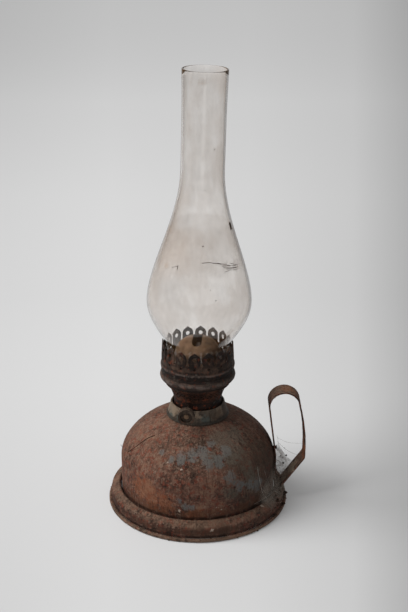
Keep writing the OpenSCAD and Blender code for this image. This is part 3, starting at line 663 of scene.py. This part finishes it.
def foot(tin):
    """The pressed skirt: a groove against the wall, a round shoulder, an upright side and a rolled hem."""
    skirt_r, shoulder_r, hem = FOOT_R - 2.2, 3, 3.2
    shoulder = arc((skirt_r - shoulder_r, SHOULDER_Z - 2.2 - shoulder_r), shoulder_r, 0, 56, 8)
    path = [(skirt_r, 2.4), *shoulder, (WALL_R + 2.6, SHOULDER_Z - 0.1)]
    path += arc((WALL_R + 1.9, SHOULDER_Z - 1.5), 1.5, 80, 165, 6) + [(WALL_R + 0.1, SHOULDER_Z - 3.2)]
    skirt = turned("foot_skirt", sheet(finer(path, 0.9), 0.6), 260)
    weather(skirt, 0.6, 6)
    weather(skirt, 0.45, 1.7)
    finish_piece(skirt, tin, "lamp_base", "rusted_tin", "base_skirt")

    corner, left, right = 1.2, FOOT_R - 3, FOOT_R
    roll = []
    for (r, z), start in (
        ((right - corner, corner), -90),
        ((right - corner, hem - corner), 0),
        ((left + corner, hem - corner), 90),
        ((left + corner, corner), 180),
    ):
        roll += arc((r, z), corner, start, start + 90, 5)
    hem_roll = turned("foot_hem", roll, 260)
    weather(hem_roll, 0.3, 5)
    weather(hem_roll, 0.25, 1.5)
    finish_piece(hem_roll, tin, "lamp_base", "rusted_tin")


def collar(metal):
    """The spun collar: a flared skirt, a round top edge, a threaded tube inside and a lapped seam."""
    bore, rim_r, foot_r, thread, turns, pitch = 18.75, 0.85, 23.4, 0.4, 4, 2.4
    foot_z = on_dome(0, NECK_Z - 0.6)[2] + 0.32
    skirt = [(foot_r + 0.4, foot_z), (foot_r - 0.7, NECK_Z + 1.5), (bore + 2 * rim_r + 0.15, COLLAR_TOP - 1.3)]
    rim = arc((bore + rim_r, COLLAR_TOP - rim_r), rim_r, 10, 180, 10)
    tube = [
        (bore + thread / 2 * (1 - math.cos(math.radians(30 * i))), COLLAR_TOP - 2 - pitch * i / 12)
        for i in range(12 * turns + 1)
    ]
    piece = turned("collar", sheet(finer(skirt, 0.8) + rim + tube, 0.6), 180)
    dent(piece, (-15, -16.5, 77), (0.5, 0.5, 0), 4)
    dent(piece, (12, -18.5, 77), (-0.5, 0.6, 0), 5)
    weather(piece, 0.25, 4)

    lap = turned("collar_lap", [
        (foot_r - 0.4, foot_z + 0.5), (foot_r + 0.25, foot_z + 0.5), (foot_r - 0.35, NECK_Z + 1.6),
        (bore + 2 * rim_r + 0.5, COLLAR_TOP - 1.3), (bore + 2 * rim_r - 0.2, COLLAR_TOP - 1.3),
        (foot_r - 1, NECK_Z + 1.6),
    ], 260)
    bpy.ops.object.mode_set(mode="EDIT")
    for azimuth, side in ((-64, True), (-52, False)):
        a = math.radians(azimuth)
        bpy.ops.mesh.select_all(action="SELECT")
        bpy.ops.mesh.bisect(
            plane_co=(0, 0, 0), plane_no=(-math.sin(a), math.cos(a), 0),
            use_fill=True, clear_inner=side, clear_outer=not side,
        )
    bpy.ops.mesh.select_all(action="SELECT")
    bpy.ops.mesh.bisect(plane_co=(0, 0, 0), plane_no=(1, -1, 0), use_fill=False, clear_inner=True)
    bpy.ops.object.mode_set(mode="OBJECT")
    settle(lap)
    whole = merged("collar", [piece, lap])
    finish_piece(whole, metal, "lamp_base", "tarnished_collar", "font_collar")


def handle(tin):
    """The strap: up the wall, round its top, down the outer leg and slanting back to the foot."""
    thick, wide, loop_r, loop_top, reach, bend_r = 1.2, 14.5, 11.6, 90.4, 81.6, 5
    top = (65.5, loop_top + thick / 2 - loop_r)
    against = WALL_R + thick / 2
    shoulder = Vector((WALL_R + 2.6, SHOULDER_Z - 0.1))
    edge = Vector(arc((FOOT_R - 5.2, SHOULDER_Z - 5.2), 3, 0, 56, 1)[1])
    slope = (shoulder - edge).normalized()
    lift = Vector((slope.y, -slope.x)) * thick / 2
    path = [(against, 16.4), (against, 28), (against, 39)] + arc(top, loop_r, 177, 0, 18)
    path += [(reach - 2, top[1] - 11), (reach - 0.6, top[1] - 21), (reach, top[1] - 31)]
    path += arc((reach - bend_r, SPRING_Z), bend_r, 0, -42, 4)
    path += [(73.5, 25), (66.7, 15.4), (65.2, 13.6)] + [tuple(shoulder - k * slope + lift) for k in (2.6, 0)]
    bpy.ops.object.select_all(action="DESELECT")
    bpy.ops.mesh.primitive_plane_add(size=wide * MM, location=(path[0][0] * MM, 0, path[0][1] * MM))
    piece = bpy.context.object
    piece.name = "strap_handle"
    bpy.ops.object.mode_set(mode="EDIT")
    bpy.ops.mesh.select_mode(type="VERT")
    bpy.ops.mesh.select_all(action="SELECT")
    bpy.ops.transform.resize(value=(0, 1, 1))
    bpy.ops.mesh.remove_doubles(threshold=1e-6)
    bpy.ops.mesh.select_all(action="SELECT")
    for (x0, z0), (x1, z1) in zip(path, path[1:]):
        step = ((x1 - x0) * MM, 0, (z1 - z0) * MM)
        bpy.ops.mesh.extrude_region_move(TRANSFORM_OT_translate={"value": step})
    bpy.ops.mesh.select_all(action="SELECT")
    bpy.ops.mesh.subdivide(number_cuts=4)
    bpy.ops.mesh.normals_make_consistent(inside=False)
    bpy.ops.object.mode_set(mode="OBJECT")
    for kind, values in (
        ("SOLIDIFY", {"thickness": thick * MM, "offset": 0}),
        ("BEVEL", {"width": 0.35 * MM, "segments": 2}),
        ("SUBSURF", {"levels": 1, "render_levels": 1}),
    ):
        modifier = piece.modifiers.new(kind, kind)
        for key, value in values.items():
            setattr(modifier, key, value)
        bpy.ops.object.modifier_apply(modifier=modifier.name)
    settle(piece)
    weather(piece, 0.25, 5, inward=False)
    weather(piece, 0.2, 1.7, inward=False)
    finish_piece(piece, tin, "lamp_base", "rusted_tin", "handle_strap")


def gallery_bowl(iron):
    """The bowl between basket and crown, with its round bead."""
    rim_r, bead_or, bead_z, bead_r, sheet_t = 24.8, 28.3, 104.7, 3.4, 0.5
    path = [(rim_r, 99.7), (rim_r, 100.6)]
    path += arc((bead_or - bead_r, bead_z), bead_r, -66, 47, 14)
    path += [(27.2, 108.4), (27.2, 109.4)]
    piece = turned("gallery_bowl_spun", sheet(finer(path, 0.7), sheet_t), 180)
    dent(piece, (-12, -25, 104.5), (0.3, 0.6, 0.2), 6)
    dent(piece, (22, -17, 104.5), (-0.5, 0.4, 0), 5)
    weather(piece, 0.22, 4)
    finish_piece(piece, iron, "burner", "dark_iron", "gallery_bowl")


def glass_radius(height):
    """Outside radius of the chimney at a height over its foot: straight foot, tight neck, full bulb, long stack."""
    bulb_r, stack_r, mouth_r = 38.3, 15.6, 16.2
    neck_h, bulb_h, stack_h, length = 11, 44, 142, 211.6
    if height < neck_h:
        return GLASS_FOOT_R
    if height < bulb_h:
        share = (height - neck_h) / (bulb_h - neck_h)
        return GLASS_FOOT_R + (bulb_r - GLASS_FOOT_R) * math.sin(math.radians(90 * share)) ** 1.15
    if height < stack_h:
        share = ((height - bulb_h) / (stack_h - bulb_h)) ** 0.86
        return bulb_r - (bulb_r - stack_r) * (share * share * (3 - 2 * share)) ** 1.04
    return stack_r + (mouth_r - stack_r) * max(0, (height - stack_h - 30) / (length - stack_h - 30)) ** 2


def on_glass(azimuth, height, proud=0.05):
    """A point on the leaning chimney at an azimuth in degrees and a height above the table."""
    a = math.radians(azimuth)
    up = height - GLASS_FOOT_Z
    radius = glass_radius(up) + proud
    lean = math.radians(GLASS_LEAN)
    x, y = radius * math.cos(a), radius * math.sin(a)
    return (x * math.cos(lean) + up * math.sin(lean), y, GLASS_FOOT_Z + up * math.cos(lean) - x * math.sin(lean))


def chimney(glass):
    """The blown chimney, leaning in the crown."""
    wall, length, neck_h, bulb_h, stack_h, mouth_r = 1.2, 211.6, 11, 44, 142, 16.2
    heights = [0.6, 4, 7.5, 10.6] + [neck_h + (bulb_h - neck_h) * i / 24 for i in range(25)]
    heights += [bulb_h + (stack_h - bulb_h) * i / 52 for i in range(1, 53)]
    heights += [stack_h + (length - 0.6 - stack_h) * i / 18 for i in range(1, 19)]
    outer = [(glass_radius(h), h) for h in heights]
    inner = sheet(outer, wall)[len(outer) :]
    lip = arc((mouth_r - wall / 2, length - wall / 2), wall / 2, 0, 180, 8)[1:-1]
    heel = arc((GLASS_FOOT_R - wall / 2, wall / 2), wall / 2, 180, 360, 6)[1:-1]
    outline = [(r, z + GLASS_FOOT_Z) for r, z in outer + lip + inner + heel]
    piece = turned("glass_chimney", outline, 160)
    bpy.ops.object.select_all(action="DESELECT")
    piece.select_set(True)
    bpy.context.view_layer.objects.active = piece
    piece.rotation_euler = (0, math.radians(GLASS_LEAN), 0)
    hinge = Vector((0, 0, GLASS_FOOT_Z * MM))
    piece.location = hinge - piece.rotation_euler.to_matrix() @ hinge
    bpy.ops.object.transform_apply(location=True, rotation=True, scale=True)
    finish_piece(piece, glass, "chimney_glass", "chimney_glass", "chimney")


def soot_marks(soot):
    """Strokes and specks of dirt on the outside of the glass: a feathered smear on the bulb and a few spots."""
    chance = random.Random(7)
    strokes = [([(-88, 201.4), (-80, 202.0), (-72, 201.2), (-62, 200.2)], 0.45)]
    for azimuth, height, sweep, drop in (
        (-66, 201.0, 14, -1.8), (-63, 199.8, 20, -2.6), (-60, 198.6, 24, -2.0), (-58, 197.4, 26, -2.2),
        (-54, 196.2, 22, -1.0), (-50, 195.2, 16, -1.4), (-46, 199.4, 14, -3.0), (-57, 194.4, 8, 0.6),
    ):
        middle = (azimuth + sweep / 2, height + drop / 2 + chance.uniform(-0.5, 0.5))
        strokes.append(([(azimuth, height), middle, (azimuth + sweep, height + drop)], chance.uniform(0.25, 0.42)))
    strokes.append(([(-23.5, 225.2), (-23.2, 222.8), (-23.6, 220.2)], 1.4))
    strokes.append(([(-122, 198.0), (-120.5, 196.4), (-121.5, 195.2)], 0.5))
    strokes.append(([(-130, 196.0), (-126, 196.8), (-120, 198.2)], 0.35))
    lines = [strand([on_glass(*point) for point in points], width) for points, width in strokes]
    specks = [(-60.8, 278.4, 0.8), (-86.8, 212.6, 1.0), (-100, 191, 0.7), (-78, 183.5, 0.7), (-72, 176, 0.9),
              (-128, 205, 0.6), (-45, 240, 0.5), (-110, 262, 0.45), (-82, 250, 0.4)]
    lines += [crumb(on_glass(azimuth, height, 0), size, chance) for azimuth, height, size in specks]
    finish_piece(merged("soot_marks", lines), soot, "chimney_glass", "dark_iron")


def loose_dirt(dirt, soot):
    """Crumbs along the hem and in the corner at the handle's foot, and hairs that lie on the dome."""
    chance = random.Random(11)
    spots = [((60.8, -12.8, 14.6), 3.0), ((67.6, -3, 4.2), 3.6), ((60.5, -28.5, 12.2), 3.4), ((63.5, -9, 13.0), 2.6),
             ((62.2, -18, 13.6), 2.2), ((66.2, -14, 6.5), 2.4), ((68, -9, 2.2), 2.0), ((57, -37, 3), 1.8)]
    for azimuth in [-117, -108, -102, -95, -140, -63, -48, -152, 20, 75, 110, 160]:
        a = math.radians(azimuth + chance.uniform(-3, 3))
        reach = FOOT_R - chance.uniform(0.2, 1.2)
        spots.append(((reach * math.cos(a), reach * math.sin(a), chance.uniform(0.5, 1.2)), chance.uniform(1.0, 1.7)))
    for _ in range(70):
        a = math.radians(chance.uniform(0, 360))
        reach, height = chance.choice(((FOOT_R - 0.5, 0.6), (FOOT_R - 0.4, 2.4), (FOOT_R - 1.6, 3.1), (FOOT_R - 2.3, 3.4)))
        spots.append(((reach * math.cos(a), reach * math.sin(a), height), chance.uniform(0.4, 0.9)))
    for _ in range(46):
        a = math.radians(chance.uniform(-34, 2))
        reach, height = chance.choice(((FOOT_R - 5, 14.2), (FOOT_R - 3.4, 12), (FOOT_R - 2.5, 8), (FOOT_R - 0.9, 3.4)))
        spots.append(((reach * math.cos(a), reach * math.sin(a), height), chance.uniform(0.8, 2.3)))
    for _ in range(26):
        a = math.radians(chance.uniform(-75, 5))
        reach = WALL_R + chance.uniform(0.6, 2.2)
        place = (reach * math.cos(a), reach * math.sin(a), SHOULDER_Z - chance.uniform(0.2, 0.9))
        spots.append((place, chance.uniform(0.5, 1.3)))
    pieces = [crumb(place, size, chance) for place, size in spots]
    finish_piece(merged("dirt_crumbs", pieces), dirt, "lamp_base", "rusted_tin")

    hairs = [
        [on_dome(-160, 48.2, 0.2), on_dome(-157, 50.5, 0.25), on_dome(-153, 55, 0.3), on_dome(-150.5, 59, 0.3),
         on_dome(-148, 62.5, 0.25), on_dome(-143, 64.5, 0.2)],
        [on_dome(-176, 44, 0.1), on_dome(-177, 45, 1.2), on_dome(-176.5, 46, 2.0)],
    ]
    lines = [strand(points, width) for points, width in zip(hairs, (0.45, 0.3))]
    finish_piece(merged("loose_hairs", lines), soot, "lamp_base", "dark_iron")


def cobwebs(film, veil, thread, soot):
    """Old web in the corner between dome, skirt and handle: a torn film inside the loop's foot, a dusty veil over
    the skirt, long threads with specks of dirt caught in them."""
    heights = [17 + 2.6 * i for i in range(14)]
    bpy.ops.object.select_all(action="DESELECT")
    bpy.ops.mesh.primitive_plane_add(size=1 * MM, location=((WALL_R + 1.3) * MM, -3 * MM, heights[0] * MM))
    web = bpy.context.object
    web.name = "web_film"
    bpy.ops.object.mode_set(mode="EDIT")
    bpy.ops.mesh.select_mode(type="VERT")
    bpy.ops.mesh.select_all(action="SELECT")
    bpy.ops.mesh.merge(type="CENTER")
    for low, high in zip(heights, heights[1:]):
        bpy.ops.mesh.extrude_region_move(TRANSFORM_OT_translate={"value": (0, 0, (high - low) * MM)})
    bpy.ops.mesh.select_all(action="SELECT")
    for step in range(6):
        bpy.ops.mesh.extrude_region_move(TRANSFORM_OT_translate={"value": (2.1 * MM, -0.3 * MM, 0.4 * MM)})
        bpy.ops.transform.resize(value=(1, 1, 0.84), center_override=(0, 0, (17 + 1.2 * step) * MM))
    settle(web, 180)
    weather(web, 2.4, 6, inward=False)
    finish_piece(web, film, "lamp_base", "rusted_tin")

    drape = [(WALL_R + 0.5, 33), (WALL_R + 0.9, 28), (WALL_R + 1.3, 23.5), (WALL_R + 2.2, 19.5), (WALL_R + 3.8, 16.6),
             (WALL_R + 5.6, 14.6), (WALL_R + 7.2, 12.6), (WALL_R + 8.4, 9.6), (WALL_R + 8.9, 6)]
    skin = turned("web_veil", drape, 200, closed=False)
    bpy.ops.object.mode_set(mode="EDIT")
    bpy.ops.mesh.select_all(action="SELECT")
    bpy.ops.mesh.bisect(plane_co=(0.02, 0, 0), plane_no=(1, 0, 0), clear_inner=True)
    bpy.ops.mesh.select_all(action="SELECT")
    bpy.ops.mesh.bisect(plane_co=(0, 0.004, 0), plane_no=(0, 1, 0), clear_outer=True)
    bpy.ops.object.mode_set(mode="OBJECT")
    weather(skin, 0.9, 5, inward=False)
    finish_piece(skin, veil, "lamp_base", "rusted_tin")

    threads = [
        ([(60.5, -6, 50), (66, -7, 44.5), (72, -7.5, 40.6), (78, -7.6, 38.8)], 0.16),
        ([(60.2, -5, 53), (65.5, -6, 50.2), (71, -7, 48.9), (80.6, -7, 49)], 0.13),
        ([(60.4, -6, 44), (66, -6.5, 36), (70.5, -7, 29)], 0.16),
        ([(60, -7, 56), (63, -7, 41), (66.5, -7, 24)], 0.14),
        ([on_dome(-40, 45, 0.3), on_dome(-40.5, 38, 0.5), on_dome(-38, 29, 0.9), on_dome(-37, 22, 1.6),
          on_dome(-33, 16.5, 3.4)], 0.35),
        ([on_dome(-33, 40, 0.4), on_dome(-31, 33, 1.0), on_dome(-27, 24, 2.0), on_dome(-24, 19, 3.0),
          on_dome(-19, 13.5, 6.4)], 0.15),
        ([on_dome(-46, 17.5, 1.4), on_dome(-38, 18, 2.2), on_dome(-27, 17, 3.4), on_dome(-14, 16, 5)], 0.2),
    ]
    lines = [strand(points, width) for points, width in threads]
    finish_piece(merged("web_threads", lines), thread, "lamp_base", "rusted_tin")

    chance = random.Random(5)
    caught = [(67.7, -5, 37.7, 1.4), (65.6, -5, 30.9, 1.5), (63.6, -4, 36.5, 1.0), (66.2, -4, 43.4, 0.9),
              (70, -5, 33, 0.7), (65.3, -4, 35.1, 0.6), (61.5, -4, 30.7, 0.7), (63.1, -4, 26, 0.7), (63.9, -4, 23.1, 0.6),
              (60.7, -14.4, 14.8, 3.0), (66.3, -9.9, 8, 3.0), (66.5, -9.4, 5.6, 2.4), (60.1, -27, 6.4, 2.6)]
    pieces = [crumb((x, y, z), size, chance) for x, y, z, size in caught]
    finish_piece(merged("web_specks", pieces), soot, "lamp_base", "dark_iron")


def dress_nodes(finishes):
    """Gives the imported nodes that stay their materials."""
    for name, material in finishes.items():
        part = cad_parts[name]
        part.data.materials.clear()
        part.data.materials.append(material)


photo_camera()
studio()

# Patches on the tin: a tint, how much it covers, and its spots
PAINT = ("#5f605e", 0.82, [
    ((-26, -39, 59), 5), ((-11.4, -47.5, 57.5), 9), ((-3, -46, 59), 8), ((3.1, -43.5, 61.9), 11),
    ((14.7, -47.4, 56.6), 10), ((20, -40, 60), 8), ((30.8, -50.6, 37), 9), ((44.6, -39, 31.9), 11),
    ((38, -45, 35), 8), ((-12.8, -57.9, 28.7), 5), ((-9.2, -58.6, 23.3), 6.5), ((-5, -58.8, 23.6), 5),
    ((8, -49, 55), 9), ((-19, -45, 56), 5), ((23, -50, 45), 8), ((10, -38, 66), 7),
])
GREY = ("#565047", 0.72, [
    ((17.8, -33.6, 65.6), 17), ((27.6, -25, 66.1), 15), ((26, -38, 56), 17), ((12, -45, 56), 13),
    ((36, -40, 40), 18), ((24, -53, 34), 11),
])
ORANGE = ("#8b5233", 0.4, [
    ((-42.6, -41.2, 30.6), 20), ((-35, -47.8, 26.1), 18), ((-24, -54, 24), 13), ((30, 50, 30), 24),
    ((-50, 20, 40), 18), ((-4, -58, 17), 10),
])
# Painted shade: a dark tint over the font's right side, away from the softbox, and a spot at its back
PAINTED_SHADE_PATCH = ("#352e26", 0.68, [
    ((48, -30, 45), 38), ((52, -20, 30), 34), ((40, -44, 24), 28), ((30, -40, 50), 24), ((-10, 55, 40), 30),
])
FLECKS = [((-13.6, -57.7, 20.3), 2.6), ((-12.1, -52.3, 52), 1.8), ((-22.3, -46.6, 54.5), 1.5),
          ((14, -57.6, 22.7), 1.6), ((17.7, -56.6, 20.4), 1.5)]
GROOVE = ((WALL_R + 2.4, WALL_R + 1.4), (16.5, 14.6))
font_tin = rusted_tin(
    "rusted_tin_font", [ORANGE, PAINTED_SHADE_PATCH, GREY, PAINT], FLECKS, 0.2, -0.01,
    # Painted shade over packed dirt: the darkened groove by the skirt, and the dark ring and band round the collar's
    # foot
    dirt=[GROOVE, ((25.6, 23.9), (75.4, 75.8))], bands=[(18, 6, "#4b2d1c", 0.6), (74.5, 4.5, "#32251c", 0.5)],
)
foot_tin = rusted_tin(
    "rusted_tin_foot",
    [("#2e211b", 0.6, [((-60.8, -5.6, 14.4), 8), ((-62.9, -22.4, 8.4), 9), ((20, -63, 8), 10), ((40, 50, 8), 30)]),
     ("#4a382c", 0.5, [((6, -64, 13), 34)])],
    [((10.4, -66, 9.4), 2.2), ((48, -39.5, 14.2), 2.4)],
    0.2,
    -0.045,
    dirt=[GROOVE],
    # Painted light and shade in the first three bands: the shoulder's top lighter and its upright side darker over the
    # rust, and a painted shadow line where the skirt meets the hem
    bands=[(13.5, 3, "#6f5c4c", 0.25), (8, 3.2, "#3f2a20", 0.6), (4.2, 1.3, "#1d120e", 0.8), (1.4, 2.2, "#84705e", 0.5)],
)
STRAP_RUST = ("#96552c", 0.7, [((80, 0, 42), 14), ((77, 0, 26), 6), ((68, 0, 90), 10)])
# Dust on the strap's leg, lightened as painted light where the dome shades the leg
STRAP_DUST_AND_PAINTED_LIGHT = ("#a99985", 0.9, [((73, 0, 25), 11), ((67, 0, 16), 9)])
# Painted shade: near black on the strap against the wall inside the loop, and down its outer leg
STRAP_PAINTED_SHADE = ("#120c0a", 1.0, [((60.8, 0, 66), 14), ((60.8, 0, 48), 14), ((83, 0, 62), 14)])
strap_tin = rusted_tin("rusted_tin_strap", [STRAP_DUST_AND_PAINTED_LIGHT, STRAP_RUST, STRAP_PAINTED_SHADE], dust=0.75, tone=-0.03)
NECK = [(0.52, "#0a0605"), (0.64, "#190f0b"), (0.78, "#352117")]
BASKET = [(0.5, "#100806"), (0.62, "#301b12"), (0.76, "#65402e")]
CROWN = [(0.52, "#0d0908"), (0.63, "#251b16"), (0.76, "#5a4539")]
BOWL = [(0.52, "#1f1714"), (0.63, "#3b2e28"), (0.76, "#605149")]
KNOB = [(0.5, "#1d1612"), (0.62, "#392e26"), (0.76, "#574a3e")]
BRASS = [(0.5, "#4a3c30"), (0.62, "#775f4a"), (0.76, "#957860")]
neck_iron = sooty_iron("sooty_iron_neck", NECK, 0.85, 0.1)
basket_iron = sooty_iron("sooty_iron_basket", BASKET, 0.75, 0.1)
# Crown bands: the pale one is a painted highlight on the worn ridge, and the near-black one below it a painted shadow
crown_iron = sooty_iron("sooty_iron_crown", CROWN, 0.5, 0.25, [
    (117.6, 2.6, "#57453a", 0.4), (113.7, 1.1, "#776963", 0.45), (111.4, 1.8, "#110c0a", 0.8),
])
# Bowl bands: the pale one is a painted highlight on the bead's top, the dark ones painted shade above and under the
# bead
bowl_iron = sooty_iron("sooty_iron_bowl", BOWL, 0.45, 0.3, [
    (108.8, 2.0, "#120d0b", 0.85), (105.2, 1.7, "#70655f", 0.45), (101, 2.4, "#1a100c", 0.75),
])
knob_metal = sooty_iron("sooty_brass_knob", KNOB, 0.3, 0.2)
old_brass = sooty_iron("sooty_old_brass", BRASS, 0.25, 0.25, [(118, 9, "#514843", 0.85)])
collar_metal = tarnished_collar_metal()
thin_soot = dry_soot("thin_soot", [(0.4, "#2a1f18"), (0.65, "#5a4636")])
soot = dry_soot("dry_soot", [(0.4, "#140e0b"), (0.65, "#33251c")])

font(font_tin)
foot(foot_tin)
collar(collar_metal)
handle(strap_tin)
gallery_bowl(bowl_iron)
chimney(chimney_glass())
soot_marks(thin_soot)
loose_dirt(packed_dirt(), soot)
film = dusty_web("dusty_web_film", "#6d6057", 0.75, [((61, -4, 39), 10), ((63, -4, 31), 13), ((62, -4, 22), 13)])
veil = dusty_web("dusty_web_veil", "#8f857b", 0.6, [((60, -16, 20), 20), ((54, -32, 20), 15), ((66, -6, 12), 12)])
cobwebs(film, veil, cobweb_thread(), soot)
dress_nodes({
    "font_floor": foot_tin, "hem_wire": neck_iron, "handle_rivets": neck_iron,
    "burner_cup": neck_iron, "burner_basket": basket_iron, "crown_gallery": crown_iron,
    # The seat inside the crown takes the darkest iron: soot, with painted shade that keeps the crown's holes dark
    "chimney_seat": neck_iron, "air_diffuser": neck_iron, "wick_tube": old_brass,
    "raiser_housing": old_brass, "spindle_bush": neck_iron, "spindle": neck_iron,
    "star_wheels": old_brass, "wick_knob": knob_metal, "knob_rivet": old_brass,
    "wick": wick_cotton(), "flame_deflector": old_brass,
})
